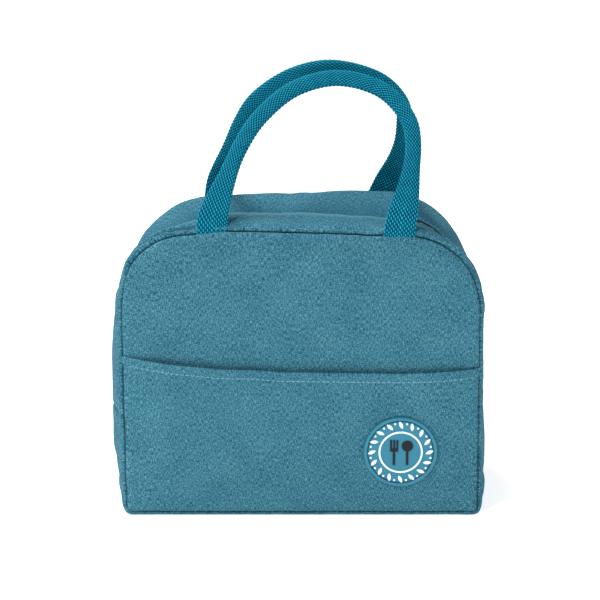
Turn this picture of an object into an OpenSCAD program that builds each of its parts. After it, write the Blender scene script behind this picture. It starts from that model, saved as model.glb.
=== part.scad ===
// Soft insulated lunch bag with a zipped mouth, a front slip pocket and two webbing handles.
// Width runs along X, depth along Y with the front at -Y, and height along Z from the surface it stands on.
// Every wall is a sandwich of outer fabric, foam and foil lining. The front and back walls fold outwards
// about a line above the pocket when the zip is open, so each wall and zip strip has a lower and an upper part.

/* [Body] */
// Width across the side walls
body_w = 234; // [215:1:270]
// Depth between the faces of the front and back panels
body_d = 124; // [110:1:150]
// Height without the handles
body_h = 196; // [185:1:220]
// Radius of the two top corners
top_r = 50; // [40:1:55]
// Radius of the two bottom corners
bottom_r = 9; // [9:1:20]
// Height of the line that the mouth folds about
fold_z = 112; // [112:1:120]
// Height of the side seams, where the zip begins
zip_z = 70; // [60:1:75]

/* [Layers] */
// Thickness of the outer fabric
fabric_t = 1; // [0.8:0.1:1.2]
// Thickness of the foam
foam_t = 4; // [3:0.5:5]
// Thickness of the foil lining
lining_t = 0.5; // [0.3:0.1:0.8]
// Width of the tape that binds the inner seams
binding_w = 10; // [8:1:12]
// Thickness of the bound seams
binding_t = 1.8; // [1:0.1:2]

/* [Front pocket] */
// Height of the pocket's open edge
pocket_h = 110; // [90:1:111]
// Room between the pocket and the front panel
pocket_gap = 5; // [4.5:0.5:7]
// Width of the pocket's sewn edges
pocket_edge = 6; // [4:1:10]

/* [Patch] */
// Diameter of the rubber patch
patch_d = 49; // [40:1:55]
// Thickness of the patch disc
patch_t = 1.7; // [1.2:0.1:2.2]
// Height of the raised rim, ring and shapes on the patch
relief = 0.5; // [0.3:0.1:0.8]
// Distance of the patch's centre from the middle of the bag
patch_x = 66; // [40:1:75]
// Height of the patch's centre
patch_z = 49; // [36:1:60]
// Number of leaves in the patch's wreath
leaf_count = 16; // [12:1:18]

/* [Zip] */
// Width of the gap between the edges of the zip strips
zip_gap = 9; // [9:0.5:12]
// Width of one zip tape
tape_w = 11.6; // [9:0.2:14]
// Length of the slider
slider_l = 12; // [10:0.5:14]
// Length of the pull tab
pull_l = 26; // [20:1:32]

/* [Handles] */
// Width of the webbing where it is sewn in
webbing_w = 20; // [16:1:25]
// Thickness of the webbing
webbing_t = 2; // [1.6:0.1:2.2]
// Width of the folded grip
grip_w = 11; // [9:0.5:13]
// Thickness of the folded grip
grip_t = 7.4; // [6:0.2:8]
// Angle that the front handle leans in by from upright
handle_lean = 32.3; // [30:0.1:33]
// Angle that the back handle leans in by from upright, a little less, so that the two meet at the top
back_handle_lean = 28.6; // [28:0.1:30]

/* [Hidden] */

front = -1;
back = 1;

// Gaps: between layers that lie on each other, between parts that move apart, and across the fold line
layer_gap = 0.05;
part_gap = 0.3;
fold_gap = 0.3;

half_d = body_d / 2;

// Depth below the outer surface of each layer's two faces
foam_in = fabric_t + layer_gap;
foam_out = fabric_t + foam_t;
lining_in = foam_out + layer_gap;
lining_out = lining_in + lining_t - layer_gap;
binding_in = lining_out + layer_gap;
binding_out = binding_in + binding_t;

// Zip cross-section: half-widths across the track, and depths below the outer surface
coil_inner = 0.5;
coil_outer = 2.3;
coil_depth = [0.5, 2.2];
tape_inner = coil_outer + layer_gap;
tape_outer = tape_inner + tape_w;
tape_depth = [foam_in, foam_in + 0.6];
strip_foam_edge = tape_outer + 0.5;
strip_lining_edge = 6;
stop_l = 3;
coil_start = zip_z + 0.5 + stop_l + layer_gap;

slider_z = zip_z + 0.5 + stop_l + 1.5 + slider_l / 2;
plate_t = 1.1;
bridge_t = 0.8;
pivot_h = 1.8;
pull_t = 1.2;
bridge_top = pivot_h + pull_t / 2 + part_gap + bridge_t;

// The pivot line of each handle, just outside the top seam
handle_y = half_d + 1.2;
handle_z = body_h + 1;

pocket_face = half_d + layer_gap + pocket_gap + fabric_t - 0.2;
patch_face = pocket_face + layer_gap + patch_t;

// The patch's inner ring as a share of its radius, and the leaves and dots of its wreath
ring_share = 0.6;
leaf_l = 5.6;
leaf_w = 2.3;
leaf_turn = 24;
dot_r = 0.7;

// Offset that brings the middle of the overall box to the origin
place = [-bridge_top / 2, (patch_face + relief - handle_y - webbing_t / 2) / 2, 0];

fabric_colour = [0.27, 0.51, 0.60];
foam_colour = [0.93, 0.93, 0.91];
foil_colour = [0.78, 0.79, 0.80];
binding_colour = [0.16, 0.33, 0.40];
webbing_colour = [0.05, 0.46, 0.55];
tape_colour = [0.08, 0.20, 0.27];
coil_colour = [0.05, 0.10, 0.14];
metal_colour = [0.62, 0.64, 0.66];
patch_colour = [0.22, 0.58, 0.70];
mark_colour = [0.96, 0.97, 0.97];
cutlery_colour = [0.06, 0.10, 0.15];

// ---- Outline of the bag seen from the front, and walls cut from it ----

// The bag's outline, drawn inset from its outer surface, with true arcs at all four corners
module outline(inset) {
    top_x = body_w / 2 - top_r;
    top_z = body_h - top_r;
    bottom_x = body_w / 2 - bottom_r;
    side_x = body_w / 2 - inset;
    for (s = [-1, 1]) {
        translate([s * top_x, top_z]) circle(r = top_r - inset, $fn = 96);
        translate([s * bottom_x, bottom_r]) circle(r = bottom_r - inset, $fn = 64);
    }
    translate([-side_x, bottom_r]) square([2 * side_x, top_z - bottom_r]);
    translate([-top_x, bottom_r]) square([2 * top_x, body_h - inset - bottom_r]);
    translate([-bottom_x, inset]) square([2 * bottom_x, bottom_r]);
}

module prism(inset, y0, y1) {
    translate([0, y1, 0]) rotate([90, 0, 0])
        linear_extrude(y1 - y0) outline(inset);
}

module band(z0, z1) {
    translate([-body_w, -body_d, z0]) cube([2 * body_w, 2 * body_d, z1 - z0]);
}

// A flat wall at the back, between two distances from the middle plane
module plate(inset, y0, y1, z0, z1) {
    intersection() {
        prism(inset, y0, y1);
        band(z0, z1);
    }
}

// A curved wall that follows the outline, between two depths below the outer surface
module shell(depths, y0, y1, z0, z1) {
    intersection() {
        difference() {
            prism(depths[0], y0, y1);
            prism(depths[1], y0 - 1, y1 + 1);
        }
        band(z0, z1);
    }
}

// Shapes are drawn for the back and mirrored to the front
module on_side(side) {
    mirror([0, side == front ? 1 : 0, 0]) children();
}

function low(part) = part == "lower" ? -1 : fold_z + fold_gap / 2;
function high(part) = part == "lower" ? fold_z - fold_gap / 2 : body_h + 1;
function strip_low(part) = part == "lower" ? zip_z : low(part);
function coil_low(part) = part == "lower" ? coil_start : low(part);

// ---- Front and back walls ----

module panel(side, part) {
    color(fabric_colour) on_side(side)
        plate(0, half_d - fabric_t, half_d, low(part), high(part));
}

module panel_foam(side, part) {
    color(foam_colour) on_side(side)
        plate(foam_in, half_d - foam_out, half_d - foam_in, low(part), high(part));
}

module panel_lining(side, part) {
    color(foil_colour) on_side(side)
        plate(lining_in, half_d - lining_out, half_d - lining_in, low(part), high(part));
}

// The bound seam allowance that stands inside, along the edge of a wall
module binding(side, part) {
    edge = half_d - binding_in;
    color(binding_colour) on_side(side)
        shell([binding_in, binding_out], edge - binding_w, edge, low(part), high(part));
}

// ---- Lower gusset: one strip under the bottom and up both sides to the side seams ----

module lower_gusset() {
    edge = half_d - foam_in;
    color(fabric_colour) shell([0, fabric_t], -edge, edge, -1, zip_z - layer_gap);
}

module lower_gusset_foam() {
    edge = half_d - lining_in;
    color(foam_colour) shell([foam_in, foam_out], -edge, edge, -1, zip_z - layer_gap);
}

module lower_gusset_lining() {
    edge = half_d - binding_in;
    color(foil_colour) shell([lining_in, lining_out], -edge, edge, -1, zip_z - layer_gap);
}

// ---- Zip strips: the upper gusset, split down its middle by the zip ----

module zip_strip(side, part) {
    color(fabric_colour) on_side(side)
        shell([0, fabric_t], zip_gap / 2, half_d - foam_in, strip_low(part), high(part));
}

module zip_strip_foam(side, part) {
    color(foam_colour) on_side(side)
        shell([foam_in, foam_out], strip_foam_edge, half_d - lining_in, strip_low(part), high(part));
}

module zip_strip_lining(side, part) {
    color(foil_colour) on_side(side)
        shell([lining_in, lining_out], strip_lining_edge, half_d - binding_in, strip_low(part), high(part));
}

module zip_tape(side, part) {
    color(tape_colour) on_side(side)
        shell(tape_depth, tape_inner, tape_outer, strip_low(part), high(part));
}

// One row of teeth, drawn as a plain bar with room for the slider's web beside it
module zip_coil(side, part) {
    color(coil_colour) on_side(side)
        shell(coil_depth, coil_inner, coil_outer, coil_low(part), high(part));
}

// Places a zip fitting on a side wall: local +Z faces outwards and local +X points down the track
module on_track(side_sign, z) {
    translate([side_sign * body_w / 2, 0, z]) rotate([0, side_sign * 90, 0]) children();
}

module zip_stops() {
    color(metal_colour) for (side_sign = [-1, 1])
        on_track(side_sign, zip_z + 0.5 + stop_l / 2)
            translate([-stop_l / 2, -coil_outer, -coil_depth[1]])
                cube([stop_l, 2 * coil_outer, coil_depth[1] - coil_depth[0] + 0.4]);
}

// ---- Slider and pull ----

// Two plates joined by a web that runs between the rows of teeth, and a bridge that holds the pull
module zip_slider() {
    half_w = zip_gap / 2 - part_gap;
    web = coil_inner - 0.2;
    top_face = plate_t - 0.2;
    bottom_face = -coil_depth[1] - part_gap;
    leg_x = 3;
    color(metal_colour) on_track(1, slider_z) union() {
        translate([-slider_l / 2, -half_w, -0.2])
            cube([slider_l, 2 * half_w, plate_t]);
        translate([-slider_l / 2, -half_w, bottom_face - 1])
            cube([slider_l, 2 * half_w, 1]);
        translate([slider_l / 2 - 4, -web, bottom_face - 0.5])
            cube([4, 2 * web, 0.5 - bottom_face]);
        for (x = [-leg_x - 0.4, leg_x - 0.4])
            translate([x, -0.9, top_face - 0.3])
                cube([0.8, 1.8, bridge_top - top_face + 0.3]);
        translate([-leg_x - 0.4, -0.9, bridge_top - bridge_t])
            cube([2 * leg_x + 0.8, 1.8, bridge_t]);
    }
}

// A flat tab that hangs from a round bar held under the slider's bridge
module zip_pull() {
    half_w = 3.5;
    arm_w = 1.3;
    arm_l = 5;
    color(metal_colour) on_track(1, slider_z) translate([0, 0, pivot_h]) union() {
        translate([0, half_w, 0]) rotate([90, 0, 0]) cylinder(h = 2 * half_w, r = pull_t / 2, $fn = 32);
        for (y = [-half_w, half_w - arm_w])
            translate([0, y, -pull_t / 2]) cube([arm_l + 1, arm_w, pull_t]);
        difference() {
            translate([arm_l, -half_w, -pull_t / 2]) cube([pull_l - arm_l - half_w, 2 * half_w, pull_t]);
            translate([pull_l - 7, 0, -pull_t]) cylinder(h = 2 * pull_t, r = 1.5, $fn = 32);
        }
        translate([pull_l - half_w, 0, -pull_t / 2]) intersection() {
            cylinder(h = pull_t, r = half_w, $fn = 48);
            translate([0, -half_w, 0]) cube([half_w, 2 * half_w, pull_t]);
        }
    }
}

// ---- Front pocket and its patch ----

// A shallow tray open at the top: the sheet, and the sewn edges that hold it to the front panel
module front_pocket() {
    face = half_d + layer_gap;
    color(fabric_colour) on_side(front) difference() {
        plate(1, face, pocket_face, -1, pocket_h);
        plate(1 + pocket_edge, face - 1, face + pocket_gap, -1, pocket_h + 1);
    }
}

// Places a patch piece flat on the pocket, facing forwards
module on_pocket(from_face) {
    translate([patch_x, -from_face, patch_z]) rotate([90, 0, 0]) children();
}

module ring(outer, inner, h) {
    difference() {
        cylinder(h = h, r = outer, $fn = 96);
        translate([0, 0, -1]) cylinder(h = h + 2, r = inner, $fn = 96);
    }
}

// The disc with the raised rim at its edge
module patch_disc() {
    r = patch_d / 2;
    color(patch_colour) union() {
        on_pocket(pocket_face + layer_gap) cylinder(h = patch_t, r = r, $fn = 96);
        on_pocket(patch_face - 0.2) ring(r, r - 1.3, relief + 0.2);
    }
}

module patch_ring() {
    r = ring_share * patch_d / 2;
    color(mark_colour) on_pocket(patch_face) ring(r, r - 1.2, relief);
}

// The overlap of two circles, with its length along X
module leaf(length, width) {
    r = (length * length + width * width) / (4 * width);
    intersection() {
        translate([0, r - width / 2, 0]) cylinder(h = relief, r = r, $fn = 96);
        translate([0, width / 2 - r, 0]) cylinder(h = relief, r = r, $fn = 96);
    }
}

// A wreath of leaves and dots in the band between the ring and the rim
module patch_wreath() {
    middle = patch_d / 2 * (ring_share + 1) / 2 - 0.4;
    step = 360 / leaf_count;
    color(mark_colour) on_pocket(patch_face)
        for (i = [0 : leaf_count - 1]) {
            rotate(step * i) translate([middle, 0, 0]) rotate(leaf_turn) leaf(leaf_l, leaf_w);
            rotate(step * (i + 0.5)) translate([middle + leaf_l * 0.2, 0, 0])
                cylinder(h = relief, r = dot_r, $fn = 32);
        }
}

// A fork and a spoon side by side in the middle of the patch
module patch_cutlery() {
    color(cutlery_colour) on_pocket(patch_face) {
        translate([-4.4, 0, 0]) union() {
            translate([-0.8, -9, 0]) cube([1.6, 10, relief]);
            translate([-2.7, 0.5, 0]) cube([5.4, 2.2, relief]);
            for (x = [-2.7, -0.6, 1.5])
                translate([x, 2.2, 0]) cube([1.2, 6.4, relief]);
        }
        translate([4.4, 0, 0]) union() {
            translate([-0.8, -9, 0]) cube([1.6, 10, relief]);
            translate([0, 4.4, 0]) cylinder(h = relief, r = 3.8, $fn = 48);
        }
    }
}

// ---- Handles ----

// Middle line of each handle in its own plane: distance along X, then distance up from the seam
front_route = [
    [-58, 0], [-57, 12], [-51, 34], [-40.5, 62], [-27, 83.5], [-4, 102],
    [24, 109], [52, 101], [69, 82], [73, 62], [70, 36], [65, 12], [63, 0]
];
back_route = [
    [-62, 0], [-60, 12], [-53, 34], [-43, 62], [-29, 84], [-5, 102],
    [24, 109], [52, 101], [68, 82], [71, 62], [69, 36], [62, 12], [57, 0]
];
route_steps = 3;
section_sides = 12;

// A point on the smooth curve through a route's points
function on_curve(p, i, t) =
    let (
        n = len(p),
        a = p[max(i - 1, 0)], b = p[i], c = p[min(i + 1, n - 1)], d = p[min(i + 2, n - 1)]
    )
    0.5 * (2 * b + (c - a) * t + (2 * a - 5 * b + 4 * c - d) * t * t + (3 * b - a - 3 * c + d) * t * t * t);

function curve(p) = concat(
    [for (i = [0 : len(p) - 2], j = [0 : route_steps - 1]) on_curve(p, i, j / route_steps)],
    [p[len(p) - 1]]
);

// Direction along the curve at point i; both ends leave the seam straight up
function heading(c, i) =
    let (n = len(c), d = i == 0 ? [0, 1] : i == n - 1 ? [0, -1] : c[i + 1] - c[i - 1])
    d / norm(d);

function smooth(t) = let (u = min(max(t, 0), 1)) u * u * (3 - 2 * u);

// Ring of points round the webbing: flat where it is sewn in, folded to a thick oval at the grip
function handle_ring(c, i, lean) =
    let (
        n = len(c) - 1,
        folded = smooth(min(i, n - i) / (n * 0.22)),
        half_w = (webbing_w + (grip_w - webbing_w) * folded) / 2,
        half_t = (webbing_t + (grip_t - webbing_t) * folded) / 2,
        d = heading(c, i)
    )
    [for (k = [0 : section_sides - 1]) let (
            a = 360 * k / section_sides,
            flat = c[i] + half_w * cos(a) * [d[1], -d[0]],
            off = half_t * sin(a)
        )
        [
            flat[0],
            handle_y - flat[1] * sin(lean) + off * cos(lean),
            handle_z + flat[1] * cos(lean) + off * sin(lean)
        ]
    ];

module handle(side, route, lean) {
    c = curve(route);
    rings = len(c);
    s = section_sides;
    color(webbing_colour) on_side(side) polyhedron(
        points = [for (i = [0 : rings - 1], p = handle_ring(c, i, lean)) p],
        faces = concat(
            [[for (k = [0 : s - 1]) k]],
            [for (i = [0 : rings - 2], k = [0 : s - 1]) let (m = (k + 1) % s)
                [i * s + k, (i + 1) * s + k, (i + 1) * s + m, i * s + m]],
            [[for (k = [s - 1 : -1 : 0]) (rings - 1) * s + k]]
        )
    );
}

// ---- Nodes ----

translate(place) {
    lower_gusset();
    lower_gusset_foam();
    lower_gusset_lining();

    panel(front, "lower");  // front_panel_lower
    panel_foam(front, "lower");  // front_foam_lower
    panel_lining(front, "lower");  // front_lining_lower
    binding(front, "lower");  // front_binding_lower
    panel(back, "lower");  // back_panel_lower
    panel_foam(back, "lower");  // back_foam_lower
    panel_lining(back, "lower");  // back_lining_lower
    binding(back, "lower");  // back_binding_lower

    for (s = [front, back]) zip_strip(s, "lower");  // zip_strips_lower
    for (s = [front, back]) zip_strip_foam(s, "lower");  // zip_strip_foams_lower
    for (s = [front, back]) zip_strip_lining(s, "lower");  // zip_strip_linings_lower
    for (s = [front, back]) zip_tape(s, "lower");  // zip_tapes_lower
    for (s = [front, back]) zip_coil(s, "lower");  // zip_coils_lower
    zip_stops();

    front_pocket();
    patch_disc();
    patch_ring();
    patch_wreath();
    patch_cutlery();

    panel(front, "upper");  // front_panel_upper
    panel_foam(front, "upper");  // front_foam_upper
    panel_lining(front, "upper");  // front_lining_upper
    binding(front, "upper");  // front_binding_upper
    zip_strip(front, "upper");  // front_zip_strip
    zip_strip_foam(front, "upper");  // front_zip_strip_foam
    zip_strip_lining(front, "upper");  // front_zip_strip_lining
    zip_tape(front, "upper");  // front_zip_tape
    zip_coil(front, "upper");  // front_zip_coil

    panel(back, "upper");  // back_panel_upper
    panel_foam(back, "upper");  // back_foam_upper
    panel_lining(back, "upper");  // back_lining_upper
    binding(back, "upper");  // back_binding_upper
    zip_strip(back, "upper");  // back_zip_strip
    zip_strip_foam(back, "upper");  // back_zip_strip_foam
    zip_strip_lining(back, "upper");  // back_zip_strip_lining
    zip_tape(back, "upper");  // back_zip_tape
    zip_coil(back, "upper");  // back_zip_coil

    handle(front, front_route, handle_lean);  // front_handle
    handle(back, back_route, back_handle_lean);  // back_handle
    zip_slider();
    zip_pull();
}
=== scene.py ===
import math

import bmesh
import bpy
import numpy as np
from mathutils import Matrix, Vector, noise
from mathutils.kdtree import KDTree


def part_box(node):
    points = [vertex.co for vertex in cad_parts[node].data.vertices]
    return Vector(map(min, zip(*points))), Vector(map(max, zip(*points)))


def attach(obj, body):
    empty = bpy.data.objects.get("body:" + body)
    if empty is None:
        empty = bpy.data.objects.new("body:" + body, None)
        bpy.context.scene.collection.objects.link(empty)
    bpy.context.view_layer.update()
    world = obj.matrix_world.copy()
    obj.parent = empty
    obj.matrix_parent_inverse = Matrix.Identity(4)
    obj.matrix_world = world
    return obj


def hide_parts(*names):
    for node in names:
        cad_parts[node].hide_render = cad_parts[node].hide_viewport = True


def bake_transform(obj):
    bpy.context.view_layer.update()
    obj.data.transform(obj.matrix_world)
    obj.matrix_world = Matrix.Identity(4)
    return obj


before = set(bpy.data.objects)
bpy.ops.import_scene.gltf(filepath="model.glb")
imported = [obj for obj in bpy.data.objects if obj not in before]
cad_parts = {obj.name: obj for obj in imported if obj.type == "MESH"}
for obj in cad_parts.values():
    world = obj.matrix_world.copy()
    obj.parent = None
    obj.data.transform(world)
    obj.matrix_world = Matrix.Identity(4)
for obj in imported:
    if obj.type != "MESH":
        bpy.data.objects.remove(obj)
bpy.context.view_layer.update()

# ---- Studio: camera, floor and lights ----
# A tele lens looks down a little on the front of the bag, as a product table is shot. The floor and
# the air round it are white, with one large soft light high on the left and a weaker one on the right.

MM = 0.001
gusset_lo, gusset_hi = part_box("lower_gusset")
front_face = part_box("front_panel_lower")[0].y
back_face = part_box("back_panel_lower")[1].y
centre_x = (gusset_lo.x + gusset_hi.x) / 2
centre_y = (front_face + back_face) / 2

camera_distance = 940 * MM
camera_height = 421.8 * MM
camera_pitch = 16

scene = bpy.context.scene
scene.view_settings.view_transform = "Standard"

camera = bpy.data.objects.new("camera", bpy.data.cameras.new("camera"))
camera.data.sensor_width = 36
camera.data.lens = 90
camera.location = (centre_x - 1 * MM, front_face - camera_distance, camera_height)
camera.rotation_euler = (math.radians(90 - camera_pitch), 0, 0)
scene.collection.objects.link(camera)
scene.camera = camera


def soft_light(name, place, size, watts):
    """A round lamp, in metres and watts, that faces the middle of the bag."""
    lamp = bpy.data.lights.new(name, "AREA")
    lamp.shape = "DISK"
    lamp.size = size
    lamp.energy = watts
    holder = bpy.data.objects.new(name, lamp)
    holder.location = place
    holder.rotation_euler = (Vector((0, 0, 0.1)) - Vector(place)).to_track_quat("-Z", "Y").to_euler()
    scene.collection.objects.link(holder)


soft_light("key_light", (-1.1, -1.15, 1.6), 0.6, 27)
soft_light("side_light", (1.6, -1.0, 0.9), 1.2, 5)
soft_light("top_light", (-0.4, 0.5, 1.8), 0.6, 26)

world = bpy.data.worlds.new("white_room")
world.use_nodes = True
world.node_tree.nodes["Background"].inputs["Color"].default_value = (1, 1, 1, 1)
world.node_tree.nodes["Background"].inputs["Strength"].default_value = 0.38
scene.world = world

floor_mesh = bmesh.new()
bmesh.ops.create_grid(floor_mesh, x_segments=1, y_segments=1, size=6)
floor_data = bpy.data.meshes.new("floor")
floor_mesh.to_mesh(floor_data)
floor_mesh.free()
floor = bpy.data.objects.new("floor", floor_data)
scene.collection.objects.link(floor)
floor_paint = bpy.data.materials.new("white_floor")
floor_paint.use_nodes = True
floor_surface = floor_paint.node_tree.nodes["Principled BSDF"].inputs
floor_surface["Base Color"].default_value = (0.95, 0.95, 0.95, 1)
floor_surface["Roughness"].default_value = 0.8
floor_surface["Emission Color"].default_value = (1, 1, 1, 1)
floor_surface["Emission Strength"].default_value = 0.62
floor_data.materials.append(floor_paint)

# ---- Outline of the bag ----
# The walls are cut to one outline with two wide top corners and two tight bottom ones. It is worked out
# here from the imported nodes, as straight and round stretches that every sewn layer follows.

half_w = (gusset_hi.x - gusset_lo.x) / 2
half_d = (back_face - front_face) / 2
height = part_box("front_panel_upper")[1].z
zip_end_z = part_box("lower_gusset")[1].z
top_r = 50 * MM
bottom_r = 9 * MM
top_x, top_z = half_w - top_r, height - top_r
bottom_x = half_w - bottom_r


def line(a, b, normal, step):
    """A straight stretch, with its normal beside each point."""
    count = max(1, round(math.dist(a, b) / step))
    t = np.linspace(0, 1, count + 1)[:, None]
    return np.hstack([np.array(a) * (1 - t) + np.array(b) * t, np.tile(normal, (count + 1, 1))])


def arc(centre, r, start, stop, step):
    """A round stretch, from start to stop degrees."""
    count = max(6, round(abs(math.radians(stop - start)) * r / step))
    a = np.radians(np.linspace(start, stop, count + 1))
    n = np.stack([np.cos(a), np.sin(a)], 1)
    return np.hstack([np.array(centre) + r * n, n])


def joined(stretches):
    """One run of rows (x, z, normal x, normal z) with no row twice."""
    rows = stretches[0]
    for more in stretches[1:]:
        rows = np.vstack([rows, more[1:] if np.allclose(rows[-1, :2], more[0, :2]) else more])
    return rows


def right_side(low_x, high_x, step):
    """From the bottom at low_x, up the right side, to the top at high_x."""
    return joined([
        line((low_x, 0), (bottom_x, 0), (0, -1), step),
        arc((bottom_x, bottom_r), bottom_r, -90, 0, step * 0.7),
        line((half_w, bottom_r), (half_w, zip_end_z), (1, 0), step),
        line((half_w, zip_end_z), (half_w, top_z), (1, 0), step),
        arc((top_x, top_z), top_r, 0, 90, step),
        line((top_x, height), (high_x, height), (0, 1), step),
    ])


def mirrored(rows):
    return (rows * (-1, 1, -1, 1))[::-1]


def run_length(rows):
    """Distance of each row from the run's start."""
    return np.concatenate([[0], np.cumsum(np.linalg.norm(np.diff(rows[:, :2], axis=0), axis=1))])


def cross_seam(side):
    """The row of a right side that lies at the seam between the lower gusset and the zip strips."""
    return np.argmin(np.abs(side[:, 1] - zip_end_z) + (side[:, 0] < half_w - MM))


def lower_run(step):
    """The lower gusset's run: down the left side, under the bottom and up the right side."""
    side = right_side(0, top_x, step)
    side = side[:cross_seam(side) + 1]
    return joined([mirrored(side), side])


def upper_run(step):
    """The zip strips' run: up the right side, over the top and down the left side."""
    side = right_side(0, 0, step)
    side = side[cross_seam(side):]
    return joined([side, mirrored(side)])


# ---- How the filled bag settles ----
# Foam and air push each wall out between its seams, the zip's strips sink into a valley along the zip,
# and the cloth keeps faint waves. Cloth is simulated once, on a closed shell of the whole bag, and every
# sewn layer then moves by the same amount as the shell beside it, so the layers stay together.


def smooth(x, low, high):
    """0 below low, 1 above high, with soft ends between."""
    t = np.clip((x - low) / (high - low), 0, 1)
    return t * t * (3 - 2 * t)


def skin_frame(p):
    """Outward direction in the outline's plane, and depth below the outline, of points near the skin."""
    x, z = p[:, 0], p[:, 2]
    side = np.where(x < 0, -1.0, 1.0)
    ax = np.abs(x)
    gaps = np.stack([half_w - ax, height - z, z], 1)
    nearest = np.argmin(gaps, 1)
    depth = gaps[np.arange(len(p)), nearest]
    normal = np.array([(1.0, 0.0), (0.0, 1.0), (0.0, -1.0)])[nearest]
    for cx, cz, r, inside in (
        (top_x, top_z, top_r, (ax > top_x) & (z > top_z)),
        (bottom_x, bottom_r, bottom_r, (ax > bottom_x) & (z < bottom_r)),
    ):
        away = np.stack([ax - cx, z - cz], 1)
        length = np.maximum(np.linalg.norm(away, axis=1), 1e-6)
        normal = np.where(inside[:, None], away / length[:, None], normal)
        depth = np.where(inside, r - length, depth)
    normal[:, 0] *= side
    return normal, depth


# Heights up the sides, and how far each side is pushed out there, in millimetres.
bulge_z = [0, 9, 27, 45, 62, 79, 112, 140, 165, 196]
left_bulge = [7.5, 10.8, 13.4, 13.8, 14.0, 13.4, 11.8, 8.8, 8.2, 9]
right_bulge = [11, 12.0, 11.2, 10.3, 8.8, 7.8, 6.0, 5.4, 6.0, 6.6]
crown = 3.5 * MM
panel_bulge = 2.8 * MM


def waves(p, size, seed):
    """Soft random waves about one size long, from -1 to 1."""
    shift = Vector((seed * 7.3, seed * 3.1, seed * 5.7))
    return np.array([noise.noise(Vector(q) / size + shift) for q in p])


def along(x, places, sizes):
    """Sizes in millimetres, read off between places in millimetres."""
    return np.interp(x, np.array(places) * MM, np.array(sizes) * MM)


def left_or_right(x, left, right):
    return np.where(x < 0, left, right)


def front_crest(x):
    """How far from the middle the front strip stands highest."""
    return along(x, [-108, -75, -45, 0, 45, 75, 100], [50, 46, 39, 34, 36, 42, 46])


def seam_fold(x, y, z, wide):
    """1 along the pinched fold beside the front seam's left corner, 0 a little away from it."""
    off_fold = np.abs(y) - along(x, [-112, -98, -62], [54.5, 55.5, 57])
    at_corner = smooth(-x, 62 * MM, 72 * MM) * smooth(z, 150 * MM, 168 * MM) * (y < 0)
    return at_corner * np.exp(-(off_fold / wide) ** 2)


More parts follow.
